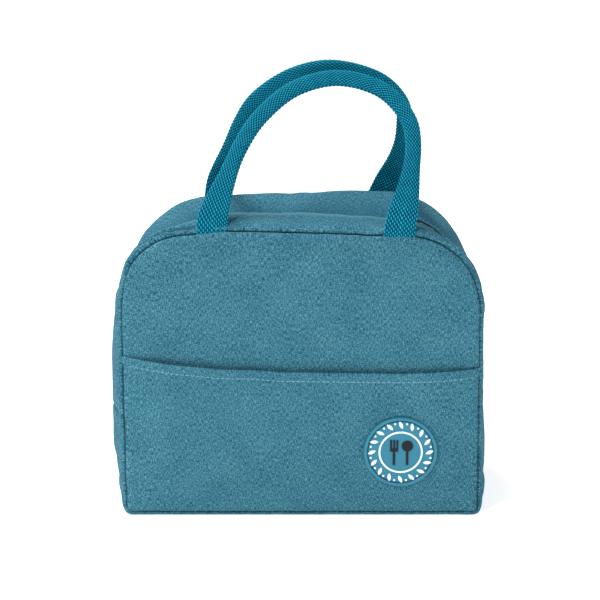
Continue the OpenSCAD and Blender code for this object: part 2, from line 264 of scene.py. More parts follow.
def settle(p):
    """Where points of the flat-sided bag come to rest on the filled one."""
    p = p + simulated(p)
    normal, depth = skin_frame(p)
    x, y, z = p.T
    a = np.abs(y)
    near_skin = 1 - smooth(depth, 10 * MM, 40 * MM)
    up = np.clip(normal[:, 1], 0, 1)
    # The two sides bulge, more on the left, with a furrow where the zip runs down them.
    puff = 1 - (a / half_d) ** 3
    furrow = np.exp(-(a / (13 * MM)) ** 3)
    furrow = furrow * left_or_right(x, smooth(z, 55 * MM, 80 * MM), smooth(z, 30 * MM, 60 * MM))
    bulge = left_or_right(x, along(z, bulge_z, left_bulge), along(z, bulge_z, right_bulge))
    side = bulge * (puff - 0.7 * furrow)
    # The front seam stands out a little at the sides, more at the floor than above.
    seam_out = left_or_right(x, along(z, [0, 196], [3.2, 2.4]), along(z, [0, 196], [4.0, 1.6]))
    side = side + seam_out * (y < 0) * smooth(a, half_d - 14 * MM, half_d - 2 * MM)
    # Across the top each strip rises from its seam to a crest, then falls steeply to the zip.
    crest = np.where(y < 0, front_crest(x), 42 * MM)
    fall = 1 - (1 - np.clip((crest - a) / (crest - 5 * MM), 0, 1)) ** 1.8
    valley = along(x, [-108, -80, -20, 55, 72, 90], [9, 11, 9, 8, 3, 0.5])
    flat = np.where(y < 0, 4, 2)
    top = crown * (1 - np.clip((a - crest) / (half_d - crest), 0, 1) ** flat) - (crown + valley) * fall
    ridge = np.exp(-((a - crest) / (2.5 * MM)) ** 2) * (y < 0) * smooth(72 * MM - np.abs(x), 0, 30 * MM)
    top = top + 1.5 * MM * ridge
    top = top + smooth(-y, 0, 40 * MM) * along(x, [-75, -50, 0, 50, 75], [1.5, 3.5, 2.6, 0.8, 0])
    rear_rise = along(x, [-75, -44, 37, 55, 85, 110], [-2, -1.0, 2.2, 2.2, 0.8, 0.4])
    top = top + smooth(y, 0, 45 * MM) * rear_rise
    # The front seam is pulled out tight round both top corners, and the bottom corners are stuffed full.
    slant = 2 * np.abs(normal[:, 0])
    by_front_seam = (y < 0) * smooth(a, half_d - 18 * MM, half_d - 3 * MM)
    at_top = left_or_right(x, -1.5 * MM, -4.0 * MM) + left_or_right(x, 4.0 * MM, 4.1 * MM) * by_front_seam
    corner = slant * (up * at_top + np.clip(-normal[:, 1], 0, 1) * 1.0 * MM)
    out = (side * (1 - up) ** 1.5 + top * smooth(up, 0.1, 0.75) + corner) * near_skin
    # Beside the front seam, from the left side to the handle, a pinched fold leaves a low roll of cloth.
    # The fold is wider in the deeper layers, so that they stay under the cloth.
    out = out - 2.6 * MM * seam_fold(x, y, z, 1.1 * MM + 0.8 * np.clip(depth, 0, 4 * MM))
    wavy = waves(p, 45 * MM, 1) * 1.1 * MM + waves(p, 17 * MM, 2) * 0.35 * MM
    out = out + wavy * near_skin * (1 - (a / half_d) ** 8) * smooth(z, 6 * MM, 30 * MM)
    # The two walls are pushed out flat, and their lower seams arch up off the floor between the corners.
    face = smooth(a, half_d - 22 * MM, half_d - 8 * MM)
    dome = 1 - np.clip(np.abs(x) / half_w, 0, 1) ** 5
    dome = dome * (1 - np.clip(np.abs(z * 2 / height - 1), 0, 1) ** 6)
    forward = (panel_bulge * dome + wavy * 0.8 * np.clip(dome * 3, 0, 1)) * face
    arch = 1.4 * MM * np.exp(-((x + 8 * MM) / (65 * MM)) ** 2) * (1 - smooth(z, 0, 28 * MM))
    moved = p.copy()
    moved[:, 0] += normal[:, 0] * out
    moved[:, 2] += normal[:, 1] * out + arch * smooth(a, half_d - 14 * MM, half_d)
    moved[:, 2] = np.maximum(moved[:, 2], np.minimum(z, depth))
    moved[:, 1] += np.sign(y) * forward
    return moved


def place(p):
    """Settled points in the frame's own coordinates."""
    return settle(p) + (centre_x, centre_y, 0)


# ---- Sewn sheets ----
# Each wall is a sandwich of outer cloth, foam and lining, cut flat and turned in at the seams. A sheet
# starts as a flat grid, is bent along the outline at its own depth, settles, and gets its thickness.

seam_drop = 2.4 * MM  # how far an edge rolls down at its seam
seam_roll = 4 * MM  # over what width
seam_gap = 0.4 * MM  # between the two pieces of a seam
seam_tuck = 3.4 * MM  # cloth turned inside


def rolled(e):
    """Depth of a sewn edge below the face, at distance e from the seam."""
    t = np.clip(1 - e / seam_roll, 0, 1)
    return seam_drop * (1 - np.sqrt(1 - t * t))


def on_floor(row):
    """1 where the outline lies on the floor, 0 up the sides and over the top."""
    return smooth(-row[:, 3], 0.2, 0.9)


def pucker(run, e):
    """The small gathers that a row of stitches leaves beside a seam."""
    beat = np.sin(run / (1.3 * MM) + 2.5 * np.sin(run / (37 * MM))) + np.sin(run / (3.1 * MM) + 1)
    return 0.06 * MM * beat * np.exp(-e / (6 * MM)) * smooth(e, 0, 3 * MM)


def bent_grid(name, columns, rows, shape, closed=False):
    """A grid piece: shape(i, j) gives the points and the woven (u, v) place of its columns and rows."""
    bm = bmesh.new()
    bmesh.ops.create_grid(bm, x_segments=columns - 1, y_segments=rows - 1, size=1)
    bm.verts.ensure_lookup_table()
    co = np.array([v.co for v in bm.verts])
    i = np.rint((co[:, 0] + 1) / 2 * (columns - 1)).astype(int)
    j = np.rint((co[:, 1] + 1) / 2 * (rows - 1)).astype(int)
    points, woven, *extra = shape(i, j)
    # The extra value is kept as a point attribute; it sets the painted highlight and painted shade in the
    # piece's colour.
    if extra:
        layer = bm.verts.layers.float.new("painted_relief_light")
        bm.verts.ensure_lookup_table()
        for v, value in zip(bm.verts, extra[0]):
            v[layer] = value
    uv = bm.loops.layers.uv.new("weave")
    for face in bm.faces:
        for loop in face.loops:
            loop[uv].uv = woven[loop.vert.index]
    for v, q in zip(bm.verts, points):
        v.co = q
    if closed:
        bmesh.ops.remove_doubles(bm, verts=bm.verts, dist=0.02 * MM)
    mesh = bpy.data.meshes.new(name)
    bm.to_mesh(mesh)
    bm.free()
    piece = bpy.data.objects.new(name, mesh)
    scene.collection.objects.link(piece)
    return piece


def points_of(piece):
    """The piece's points as rows of an array."""
    co = np.zeros(len(piece.data.vertices) * 3, np.float32)
    piece.data.vertices.foreach_get("co", co)
    return co.reshape(-1, 3).astype(float)


def move_points(piece, co):
    piece.data.vertices.foreach_set("co", co.astype(np.float32).ravel())
    piece.data.update()


def face_outwards(piece, outside):
    """Turns the faces so that the one nearest to a point outside looks towards it."""
    bm = bmesh.new()
    bm.from_mesh(piece.data)
    nearest = min(bm.faces, key=lambda f: (f.calc_center_median() - Vector(outside)).length)
    if nearest.normal.dot(Vector(outside) - nearest.calc_center_median()) < 0:
        bmesh.ops.reverse_faces(bm, faces=bm.faces)
    bm.to_mesh(piece.data)
    bm.free()


def thicken(piece, thickness, levels=1):
    """Gives a sheet its thickness, inwards from its outer face."""
    solid = piece.modifiers.new("thickness", "SOLIDIFY")
    solid.thickness = thickness
    solid.offset = -1
    solid.use_even_offset = False
    if levels:
        rounder = piece.modifiers.new("rounding", "SUBSURF")
        rounder.levels = rounder.render_levels = levels
    piece.data.shade_smooth()


def gusset_sheet(name, rows, y_edges, depth, thickness, sewn=(), end_roll=False, levels=1, step=2.3 * MM):
    """A strip that follows a run of the outline, from one distance across the bag to another."""
    y0, y1 = y_edges
    inner = max(2, round(abs(y1 - y0) / step))
    across = np.linspace(y0, y1, inner + 1)
    for edge in sewn:
        across = across[(np.abs(across - edge) > 10.2 * MM) | (across == edge)]
    fine = np.array([0.5, 1.1, 1.8, 2.6, 3.4, 4.1, 4.8, 5.5, 6.2, 7.0, 8.0, 9.2]) * MM
    for edge in sewn:
        sign = 1 if edge == min(y0, y1) else -1
        across = np.concatenate([across, edge + sign * fine])
    across = np.unique(np.round(across, 6))
    tucks = np.zeros(len(across))
    for edge in sewn:
        turned = edge + (1 if edge < 0 else -1) * seam_tuck
        at_start = edge == min(y0, y1)
        across = np.concatenate([[turned], across]) if at_start else np.concatenate([across, [turned]])
        tucks = np.concatenate([[1], tucks]) if at_start else np.concatenate([tucks, [1]])
    run = run_length(rows)

    def shape(i, j):
        y, tuck = across[j], tucks[j]
        e = np.full(len(y), 1.0)
        for edge in sewn:
            e = np.minimum(e, np.where(tuck > 0, 0, np.abs(y - edge)))
        sunk = rolled(e) if len(sewn) else np.zeros(len(y))
        if end_roll:
            ends = np.minimum(run[i], run[-1] - run[i])
            sunk = np.maximum(sunk, rolled(ends) * 0.8)
        row = rows[i]
        # A painted highlight lightens the front strip's crest, and painted shade darkens the folds and
        # the hollow at the zip.
        over_top = smooth(row[:, 3], 0.2, 0.7)
        crest = np.exp(-((np.abs(y) - front_crest(row[:, 0])) / (3.2 * MM)) ** 2) * (y < 0)
        hollow = np.where(y < 0, 1 - smooth(-y, 10 * MM, 30 * MM), 1 - smooth(y, 14 * MM, 44 * MM))
        painted_highlight_and_shade = over_top * (crest - 0.9 * hollow) - 1.3 * seam_fold(row[:, 0], y, row[:, 1], 1.0 * MM)
        if len(sewn):
            # Under the front and back seams the weight of the bag squeezes out a low lip of cloth.
            floor_share = on_floor(row)
            lip = (seam_drop + 0.4 * MM) * (1 - smooth(e, 0, 3.8 * MM))
            sunk = sunk * (1 - floor_share) + lip * floor_share
            sunk = sunk - pucker(run[i], e)
            y = y + np.sign(y) * floor_share * 6 * MM * np.exp(-((e - 2.3 * MM) / (1.7 * MM)) ** 2)
        sunk = sunk + tuck * seam_tuck + depth
        x, z = row[:, 0] - row[:, 2] * sunk, row[:, 1] - row[:, 3] * sunk
        return np.stack([x, y, z], 1), np.stack([run[i], y], 1), painted_highlight_and_shade

    piece = bent_grid(name, len(rows), len(across), shape)
    move_points(piece, place(points_of(piece)))
    middle = rows[len(rows) // 2]
    face_outwards(piece, (middle[0] * 3 + centre_x, (y0 + y1) / 2 + centre_y, (middle[1] - 0.1) * 30))
    thicken(piece, thickness, levels)
    return piece


# A wall's rings close in on this line across its middle.
spine = 60 * MM
spine_z = 95 * MM
turn_in = 4.5 * MM


def wall_sheet(name, side, inset, depth, thickness, sewn=True, levels=1, step=3.2 * MM):
    """A front (side -1) or back (side 1) wall, ringed from its seam to a line across its middle."""
    across = line((-spine, 0), (spine, 0), (0, -1), step)
    up = right_side(spine, spine, step)
    over = line((spine, height), (-spine, height), (0, 1), step)
    rows = joined([across, up, over, mirrored(up)])
    run = run_length(rows)
    targets = np.stack([np.clip(rows[:, 0], -spine, spine), np.full(len(rows), spine_z)], 1)
    edge = seam_drop if sewn else -seam_gap
    near = np.array([0, 0.5, 1.1, 1.9, 3, 4.5, 6.5, 9]) * MM
    far = np.linspace(0, 1, 26)[1:]
    first = 1 if sewn else 0

    def shape(i, j):
        row = rows[i]
        j = j - first
        e = near[np.clip(j, 0, len(near) - 1)]
        t = np.where(j >= len(near), far[np.clip(j - len(near), 0, len(far) - 1)], 0)
        e_in = e + inset + edge + seam_gap + np.where(j < 0, seam_tuck, 0)
        first_part = np.minimum(e_in, turn_in)[:, None]
        heading = targets[i] - (row[:, :2] - row[:, 2:] * turn_in)
        heading /= np.linalg.norm(heading, axis=1)[:, None]
        flat = row[:, :2] - row[:, 2:] * first_part + heading * (e_in[:, None] - first_part)
        flat = flat * (1 - t[:, None]) + targets[i] * t[:, None]
        sunk = depth + (rolled(e) - pucker(run[i], e) if sewn else 0) + np.where(j < 0, seam_tuck, 0)
        sunk = np.where(t > 0, depth, sunk)
        y = side * (half_d - sunk)
        return np.stack([flat[:, 0], y, flat[:, 1]], 1), np.stack([flat[:, 0], flat[:, 1]], 1)

    piece = bent_grid(name, len(rows), first + len(near) + len(far), shape, closed=True)
    move_points(piece, place(points_of(piece)))
    face_outwards(piece, (centre_x, side * 3, height / 2))
    thicken(piece, thickness, levels)
    return piece


# ---- Cloth simulation of the shell ----
# A closed shell of the whole bag, pinned along its seams, its zip and its base, is cut a little too
# large, as sewn cloth is, and blown up gently. It gives the slack and the pull between the pinned lines.

most_move = 1.1 * MM
last_frame = 20
neighbours = 6
slack = {"tree": None, "moves": None}


def simulate_shell():
    """Blows up the shell, and keeps how far each of its points moved."""
    ring = joined([lower_run(5 * MM), upper_run(5 * MM)])[:-1]
    bm = bmesh.new()
    loop = [bm.verts.new((x, -half_d, z)) for x, z in ring[:, :2]]
    bm.faces.new(loop)
    grown = bmesh.ops.extrude_face_region(bm, geom=bm.faces[:])["geom"]
    for v in (g for g in grown if isinstance(g, bmesh.types.BMVert)):
        v.co.y = half_d
    bmesh.ops.recalc_face_normals(bm, faces=bm.faces)
    mesh = bpy.data.meshes.new("shell")
    bm.to_mesh(mesh)
    bm.free()
    shell = bpy.data.objects.new("shell", mesh)
    scene.collection.objects.link(shell)
    remesh = shell.modifiers.new("remesh", "REMESH")
    remesh.mode = "VOXEL"
    remesh.voxel_size = 5 * MM
    shape = bpy.data.meshes.new_from_object(shell.evaluated_get(bpy.context.evaluated_depsgraph_get()))
    shell.modifiers.clear()
    shell.data = shape
    rest = points_of(shell)
    depth = skin_frame(rest)[1]
    y, z = np.abs(rest[:, 1]), rest[:, 2]
    seam = np.exp(-(np.maximum(half_d - y, depth) / (5 * MM)) ** 2)
    zip_line = np.exp(-(y / (8 * MM)) ** 2) * smooth(z, 50 * MM, 70 * MM)
    held = np.clip(np.maximum(np.maximum(seam, zip_line), 1 - smooth(z, 2 * MM, 16 * MM)), 0, 1)
    group = shell.vertex_groups.new(name="held")
    for k, share in enumerate(held):
        group.add([k], float(share), "REPLACE")
    cloth = shell.modifiers.new("cloth", "CLOTH")
    cloth.settings.vertex_group_mass = "held"
    cloth.settings.pin_stiffness = 1
    cloth.settings.quality = 6
    cloth.settings.mass = 0.3
    cloth.settings.tension_stiffness = 20
    cloth.settings.compression_stiffness = 20
    cloth.settings.bending_stiffness = 2
    cloth.settings.shrink_min = -0.025
    cloth.settings.use_pressure = True
    cloth.settings.uniform_pressure_force = 3
    cloth.settings.effector_weights.gravity = 0
    cloth.point_cache.frame_start, cloth.point_cache.frame_end = 1, last_frame
    for frame_number in range(1, last_frame + 1):
        scene.frame_set(frame_number)
    blown = shell.evaluated_get(bpy.context.evaluated_depsgraph_get())
    moves = np.array([v.co for v in blown.data.vertices]) - rest
    scene.frame_set(1)
    bpy.data.objects.remove(shell)
    length = np.maximum(np.linalg.norm(moves, axis=1), 1e-9)
    moves *= (most_move * np.tanh(length / most_move) / length)[:, None]
    slack["tree"] = KDTree(len(rest))
    for k, q in enumerate(rest):
        slack["tree"].insert(q, k)
    slack["tree"].balance()
    slack["moves"] = moves


def simulated(p):
    """How far the shell beside each point moved in the simulation."""
    if slack["tree"] is None:
        return np.zeros_like(p)
    moves = np.zeros_like(p)
    for k, q in enumerate(p):
        near = slack["tree"].find_n(q, neighbours)
        share = np.array([1 / (n[2] + 1 * MM) ** 2 for n in near])
        moves[k] = share @ slack["moves"][[n[1] for n in near]] / share.sum()
    return moves


simulate_shell()


# ---- Woven cloth of the body ----
# Heathered polyester oxford: light and dark teal yarns cross in a plain weave, so short pale and dark
# dashes run both ways, with faint cloudy patches. The cloth is matt with a soft bloom at grazing angles.


def srgb(*levels):
    """A colour from its three levels out of 255."""
    return tuple(((c / 255 + 0.055) / 1.055) ** 2.4 if c > 10 else c / 255 / 12.92 for c in levels) + (1,)


class Value:
    """A shader socket that can be used in sums; each operation adds a Math node."""

    def __init__(self, shader, socket):
        self.shader, self.socket = shader, socket

    def math(self, operation, *others):
        return self.shader.node("Math", {"operation": operation}, [self, *others])

    def __add__(self, other):
        return self.math("ADD", other)

    def __mul__(self, other):
        return self.math("MULTIPLY", other)

    def __rsub__(self, other):
        return self * -1 + other

    __radd__ = __add__
    __rmul__ = __mul__


class Shader:
    """A material whose nodes are made by one method."""

    def __init__(self, name):
        self.material = bpy.data.materials.new(name)
        self.material.use_nodes = True
        self.tree = self.material.node_tree
        self.surface = self.tree.nodes["Principled BSDF"]

    def node(self, kind, settings=None, inputs=(), output=0):
        made = self.tree.nodes.new("ShaderNode" + kind)
        for key, value in (settings or {}).items():
            setattr(made, key, value)
        named = inputs.items() if isinstance(inputs, dict) else enumerate(inputs)
        for key, value in named:
            self.feed(made.inputs[key], value)
        return Value(self, made.outputs[output])

    def feed(self, socket, value):
        if isinstance(value, Value):
            self.tree.links.new(value.socket, socket)
        else:
            socket.default_value = value

    def mix(self, factor, a, b):
        return self.node("Mix", {"data_type": "RGBA"}, {0: factor, 6: a, 7: b}, output=2)

    def spread(self, value, low, high):
        """0 below low, 1 above high, straight between."""
        return self.node("MapRange", {}, {"Value": value, "From Min": low, "From Max": high})

    def woven(self, u, v):
        """The piece's woven place, stretched by u and v a metre."""
        place_on = self.node("UVMap", {"uv_map": "weave"})
        return self.node("VectorMath", {"operation": "MULTIPLY"}, [place_on, (u, v, 1)])

    def noise(self, vector, detail=2):
        return self.node("TexNoise", {}, {"Vector": vector, "Scale": 1, "Detail": detail})

    def fine_grain(self):
        """The fine pitting of a moulded surface."""
        spot = self.node("TexCoord", output=3)
        return self.noise(self.node("VectorMath", {"operation": "SCALE"}, {0: spot, "Scale": 2500}))

    def finish(self, **sockets):
        for name, value in sockets.items():
            self.feed(self.surface.inputs[name.replace("_", " ")], value)
        return self.material

    def bump(self, height, distance, strength=1.0):
        return self.node("Bump", {}, {"Height": height, "Distance": distance, "Strength": strength})


def oxford(name, dark, middle, light):
    """Cloth of dark, middle and light yarns, with a painted highlight where its attribute is above 0 and
    painted shade where it is below.
    """
    s = Shader(name)
    upright = s.spread(s.noise(s.woven(2200, 430)), 0.32, 0.68)
    level = s.spread(s.noise(s.woven(500, 2200)), 0.32, 0.68)
    flecks = s.spread(s.noise(s.woven(2700, 2700), detail=0), 0.3, 0.7)
    clouds = s.spread(s.noise(s.woven(45, 45)), 0.3, 0.7)
    heather = upright * 0.36 + level * 0.28 + flecks * 0.3 + clouds * 0.06
    tone = s.mix(s.spread(heather, 0.28, 0.52), dark, middle)
    tone = s.mix(s.spread(heather, 0.48, 0.78), tone, light)
    # Painted highlight and painted shade from the piece's attribute: lighter along the front strip's
    # crest, darker in the seam fold and the hollow at the zip.
    painted_highlight_and_shade = s.node("Attribute", {"attribute_name": "painted_relief_light"}, output=2)
    tone = s.mix(s.spread(painted_highlight_and_shade, 0, 1) * 0.75, tone, light)
    tone = s.mix(s.spread(painted_highlight_and_shade * -1, 0, 1) * 0.6, tone, dark)
    yarn = 2 * math.pi / (0.85 * MM)
    wave = s.node("SeparateXYZ", {}, [s.woven(yarn, yarn)])
    u = Value(s, wave.socket.node.outputs[0]).math("SINE")
    v = Value(s, wave.socket.node.outputs[1]).math("SINE")
    relief = u * v * 0.35 + heather
    return s.finish(Base_Color=tone, Roughness=0.92 - heather * 0.1,
                    Normal=s.bump(relief, 0.35 * MM, 0.8), Specular_IOR_Level=0.12)


body_cloth = oxford("heathered_oxford", srgb(4, 68, 93), srgb(50, 112, 132), srgb(104, 158, 172))


def sew(piece, material, slot, *nodes):
    """Gives a piece its material and hides the imported nodes that it stands for; the slot is not used.
    """
    piece.data.materials.append(material)
    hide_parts(*nodes)


def fold_with(piece):
    """Bakes the piece's placement into its mesh."""
    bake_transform(piece)


cloth_t = 1.0 * MM
edge_y = half_d - seam_drop - seam_gap

lower_length = run_length(lower_run(2 * MM))[-1]
upper_length = run_length(upper_run(2 * MM))[-1]


lower_gusset = gusset_sheet("lower_gusset_cloth", lower_run(2.6 * MM), (-edge_y, edge_y), 0, cloth_t,
                            sewn=(-edge_y, edge_y), end_roll=True)
sew(lower_gusset, body_cloth, "oxford_fabric", "lower_gusset")
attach(lower_gusset, "tub")

for side_name, sign in (("front", -1), ("back", 1)):
    wall = wall_sheet(side_name + "_wall_cloth", sign, 0, 0, cloth_t)
    sew(wall, body_cloth, "oxford_fabric", side_name + "_panel_lower", side_name + "_panel_upper")
    fold_with(wall)
    strip_edges = (sign * 4.5 * MM, sign * edge_y)
    strip = gusset_sheet(side_name + "_zip_strip_cloth", upper_run(1.5 * MM), strip_edges, 0, cloth_t,
                         sewn=(sign * edge_y,), end_roll=True)
    sew(strip, body_cloth, "oxford_fabric", side_name + "_zip_strip", "zip_strips_lower")
    fold_with(strip)

# ---- Foam in the walls ----
# White closed-cell polyethylene foam, about four millimetres thick, lies loose between cloth and lining
# and stops short of the seams.

foam_material = Shader("white_foam")
cells = foam_material.noise(foam_material.woven(900, 900))
foam_material = foam_material.finish(Base_Color=srgb(238, 240, 240), Roughness=0.75,
                                     Normal=foam_material.bump(cells, 0.2 * MM, 0.5))
foam_depth, foam_t, foam_inset = 1.2 * MM, 3.6 * MM, 5.5 * MM
foam_y = half_d - foam_inset

coarse = 4 * MM
foam_run = upper_run(coarse)[1:-1]

gusset_foam = gusset_sheet("lower_gusset_pad", lower_run(coarse)[1:-1], (-foam_y, foam_y), foam_depth,
                           foam_t, levels=0, step=coarse)
sew(gusset_foam, foam_material, "pe_foam", "lower_gusset_foam")
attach(gusset_foam, "tub")
for side_name, sign in (("front", -1), ("back", 1)):
    wall_foam = wall_sheet(side_name + "_wall_pad", sign, foam_inset, foam_depth, foam_t, sewn=False,
                           levels=0, step=coarse)
    sew(wall_foam, foam_material, "pe_foam", side_name + "_foam_lower", side_name + "_foam_upper")
    strip_foam = gusset_sheet(side_name + "_zip_strip_pad", foam_run, (sign * 15 * MM, sign * foam_y),
                              foam_depth, foam_t, levels=0, step=coarse)
    sew(strip_foam, foam_material, "pe_foam", side_name + "_zip_strip_foam", "zip_strip_foams_lower")
    for pad in (wall_foam, strip_foam):
        fold_with(pad)

# ---- Foil lining ----
# Silvered film on a thin cloth, sewn inside the foam. It is crinkled and shines like dull metal.

foil = Shader("foil_lining")
crinkle = foil.noise(foil.woven(170, 170), detail=5)
foil = foil.finish(Base_Color=srgb(205, 209, 212), Metallic=0.85, Roughness=0.34,
                   Normal=foil.bump(crinkle, 1.2 * MM, 0.7))
foil_depth, foil_t = 5.0 * MM, 0.5 * MM
foil_inset = foil_depth + foil_t
foil_y = half_d - foil_inset

gusset_foil = gusset_sheet("lower_gusset_foil", lower_run(coarse), (-foil_y, foil_y), foil_depth, foil_t,
                           levels=0, step=coarse)
sew(gusset_foil, foil, "foil_lining", "lower_gusset_lining")
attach(gusset_foil, "tub")
for side_name, sign in (("front", -1), ("back", 1)):
    wall_foil = wall_sheet(side_name + "_wall_foil", sign, foil_inset, foil_depth, foil_t, sewn=False,
                           levels=0, step=coarse)
    sew(wall_foil, foil, "foil_lining", side_name + "_lining_lower", side_name + "_lining_upper")
    strip_edges = (sign * 6 * MM, sign * foil_y)
    strip_foil = gusset_sheet(side_name + "_zip_strip_foil", upper_run(coarse), strip_edges, foil_depth,
                              foil_t, levels=0, step=coarse)
    sew(strip_foil, foil, "foil_lining", side_name + "_zip_strip_lining", "zip_strip_linings_lower")
    for film in (wall_foil, strip_foil):
        fold_with(film)

# ---- Bound seams inside ----
# The seam allowances of each wall are wrapped in a folded strip of black woven tape, which runs all
# round the inside of the bag beside the lining.


def swept(name, rows, section):
    """A closed section of (y, depth) points carried right round the outline."""
    section = np.array(section + section[:1])
    run = run_length(rows)
    around = np.concatenate([[0], np.cumsum(np.linalg.norm(np.diff(section, axis=0), axis=1))])

    def shape(i, j):
        row = rows[i]
        y, deep = section[j].T
        x, z = row[:, 0] - row[:, 2] * deep, row[:, 1] - row[:, 3] * deep
        return np.stack([x, y, z], 1), np.stack([run[i], around[j]], 1)

    piece = bent_grid(name, len(rows), len(section), shape, closed=True)
    move_points(piece, place(points_of(piece)))
    bm = bmesh.new()
    bm.from_mesh(piece.data)
    bmesh.ops.recalc_face_normals(bm, faces=bm.faces)
    bm.to_mesh(piece.data)
    bm.free()
    piece.data.shade_smooth()
    return piece


binding_tape = Shader("seam_binding")
ribs = binding_tape.node("SeparateXYZ", {}, [binding_tape.woven(2 * math.pi / (0.8 * MM), 1)])
binding_tape = binding_tape.finish(Base_Color=srgb(40, 44, 48), Roughness=0.8,
                                   Normal=binding_tape.bump(ribs.math("SINE"), 0.2 * MM, 0.6))
for side_name, sign in (("front", -1), ("back", 1)):
    low, high = sign * (half_d - 5.6 * MM), sign * (half_d - 15 * MM)
    section = [(low, 5.7 * MM), ((low * 3 + high) / 4, 5.65 * MM), (high, 5.8 * MM), (high, 7.0 * MM),
               ((low + high * 3) / 4, 7.3 * MM), ((low + high) / 2, 7.2 * MM), (low, 7.0 * MM)]
    binding = swept(side_name + "_bound_seam", joined([lower_run(3 * MM), upper_run(3 * MM)]), section)
    sew(binding, binding_tape, "seam_binding", side_name + "_binding_lower", side_name + "_binding_upper")
    fold_with(binding)

# ---- Zip: tapes, coils, stops, slider and pull ----
# A nylon coil zip. Each dark woven tape is sewn under its strip; its coil is a row of small teeth that
# lock between those of the other side. The slider and its tab are plated metal, parked at one end.

# Tape and coil are near-black, darker than the tape's own dark colour, as painted shade in the narrow gap
# between the strips.
tape_material = Shader("zip_tape")
threads = tape_material.noise(tape_material.woven(1500, 500))
tape_material = tape_material.finish(Base_Color=srgb(8, 16, 22), Roughness=0.8,
                                     Normal=tape_material.bump(threads, 0.2 * MM, 0.6))
coil_material = Shader("zip_coil").finish(Base_Color=srgb(5, 10, 14), Roughness=0.4)
plated = Shader("zip_metal").finish(Base_Color=srgb(176, 178, 180), Metallic=1.0, Roughness=0.24)


def repeated(name, seed, places):
    """Copies of a small seed mesh, one for each row of (point, three axes)."""
    bm = bmesh.new()
    seed(bm)
    first = bm.verts[:] + bm.edges[:] + bm.faces[:]
    own = [v.co.copy() for v in bm.verts]
    for k, (origin, axes) in enumerate(places):
        copy = first if k == 0 else [g for g in bmesh.ops.duplicate(bm, geom=first)["geom"]]
        for v, q in zip((g for g in copy if isinstance(g, bmesh.types.BMVert)), own):
            v.co = Vector(origin) + Vector(axes[0]) * q.x + Vector(axes[1]) * q.y + Vector(axes[2]) * q.z
    mesh = bpy.data.meshes.new(name)
    bm.to_mesh(mesh)
    bm.free()
    mesh.shade_smooth()
    piece = bpy.data.objects.new(name, mesh)
    scene.collection.objects.link(piece)
    return piece


def laid_at(origin, ahead, lift):
    """A place for one copy, pointing from origin to ahead, with its own upright near lift."""
    forward = Vector(ahead - origin).normalized()
    side = Vector(lift).normalized().cross(forward).normalized()
    return origin, (forward, side, forward.cross(side).normalized())


def settled_places(track, y, sunk):
    """Places along a track of the outline, at y across the bag and sunk below its face, once settled."""
    across = np.zeros(len(track))
    outwards = np.stack([track[:, 2], across, track[:, 3]], 1)
    forward = np.stack([-track[:, 3], across, track[:, 2]], 1)
    at = np.stack([track[:, 0], across + y, track[:, 1]], 1) - outwards * sunk
    p, q, above = place(at), place(at + forward * 0.5 * MM), place(at + outwards * MM)
    return [laid_at(a, b, c - a) for a, b, c in zip(p, q, above)]


def tooth(bm):
    bmesh.ops.create_cube(bm, size=1)
    for v in bm.verts:
        v.co = (v.co.x * 0.72 * MM, v.co.y * 2.7 * MM, v.co.z * 1.15 * MM)
    bmesh.ops.bevel(bm, geom=bm.edges[:], offset=0.26 * MM, affect="EDGES", segments=1, profile=0.5,
                    material=-1)


for side_name, sign in (("front", -1), ("back", 1)):
    tape_edges = (sign * 1.6 * MM, sign * 14 * MM)
    tape = gusset_sheet(side_name + "_zip_tape_cloth", upper_run(2.6 * MM), tape_edges, 1.15 * MM,
                        0.45 * MM, levels=0)
    sew(tape, tape_material, "zip_tape", side_name + "_zip_tape", "zip_tapes_lower")
    fold_with(tape)
    # The two rows of teeth take turns along the track.
    track = upper_run(0.72 * MM)[(0 if sign < 0 else 1)::2]
    coil = repeated(side_name + "_zip_teeth", tooth, settled_places(track, sign * 1.15 * MM, 0.85 * MM))
    sew(coil, coil_material, "zip_coil", side_name + "_zip_coil", "zip_coils_lower")
    fold_with(coil)



def recolour(node, material):
    """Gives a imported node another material."""
    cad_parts[node].data.materials.clear()
    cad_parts[node].data.materials.append(material)


for node in ("zip_stops", "zip_slider", "zip_pull"):
    recolour(node, plated)

# ---- Stitches beside the zip ----
# Each strip's folded edge is sewn to its tape with one row of teal thread.

thread = Shader("teal_thread").finish(Base_Color=srgb(116, 168, 184), Roughness=0.5, Sheen_Weight=0.3)


def stitch(bm):
    bmesh.ops.create_uvsphere(bm, u_segments=6, v_segments=5, radius=1)
    for v in bm.verts:
        v.co = (v.co.z * 1.25 * MM, v.co.x * 0.27 * MM, v.co.y * 0.2 * MM)


for side_name, sign in (("front", -1), ("back", 1)):
    track = upper_run(3.1 * MM)[1:-1]
    stitches = repeated(side_name + "_zip_stitches", stitch, settled_places(track, sign * 7 * MM, 0))
    stitches.data.materials.append(thread)
    fold_with(stitches)

# ---- Front pocket ----
# A flat pocket of the same cloth covers the lower half of the front. Its sides and bottom are caught in
# the wall's seams; its open edge sags a little, and is folded in and sewn down with one row of stitches.

edge_x = np.array([-117, -102, -81, -43, 0, 35, 73, 95, 117]) * MM
edge_z = np.array([115.6, 112.3, 109.4, 107.2, 105.4, 104.7, 104.4, 105.4, 106.6]) * MM
patch_lo, patch_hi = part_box("patch_disc")
patch_x = (patch_lo.x + patch_hi.x) / 2 - centre_x
patch_z = (patch_lo.z + patch_hi.z) / 2
patch_y = patch_hi.y - centre_y
hem = 6.5 * MM


def pocket_edge(x):
    """Height of the open edge, as a smooth line past its points."""
    reach = np.abs(x[:, None] - edge_x[None, :]) / (19 * MM)
    share = np.exp(-reach ** 2)
    return (share @ edge_z) / share.sum(1)


